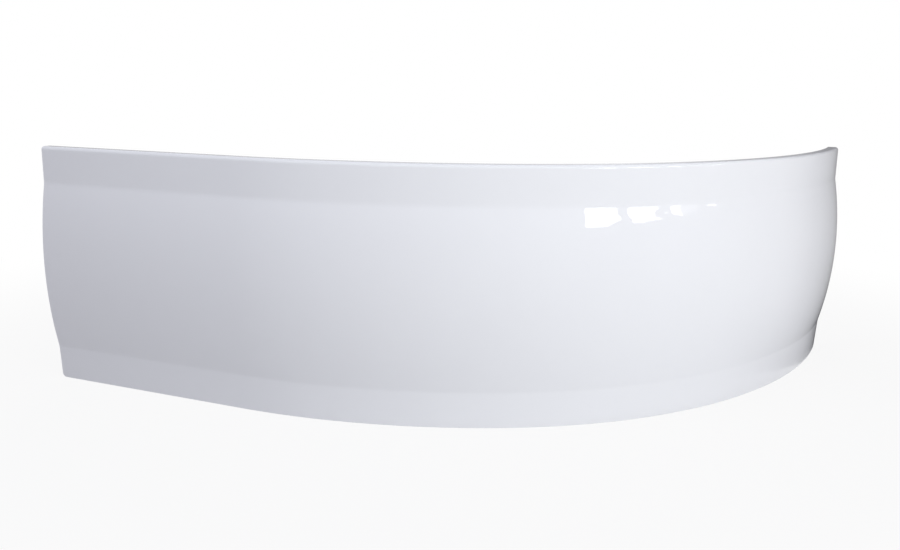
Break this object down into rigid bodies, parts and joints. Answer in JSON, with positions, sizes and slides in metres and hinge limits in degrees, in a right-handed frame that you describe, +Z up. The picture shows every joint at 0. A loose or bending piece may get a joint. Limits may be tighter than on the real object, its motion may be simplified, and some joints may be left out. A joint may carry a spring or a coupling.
{
  "type": "bath panel",
  "caption": "Curved front panel for an asymmetric corner bath: moulded acrylic sheet with a turned-in rim, upright top band, bowed belly and set-back plinth.",
  "frame": {"origin": "middle of the bounding box, on the floor that the panel stands on", "axes": "+Z up; +X along the straight run, away from the left wall; +Y towards the back wall; the front faces -Y and +X"},
  "size_m": [1.7127, 1.118, 0.56],
  "materials": {
    "acrylic": "high gloss white"
  },
  "bodies": {
    "root": {"bath_panel": "acrylic"}
  },
  "joints": []
}
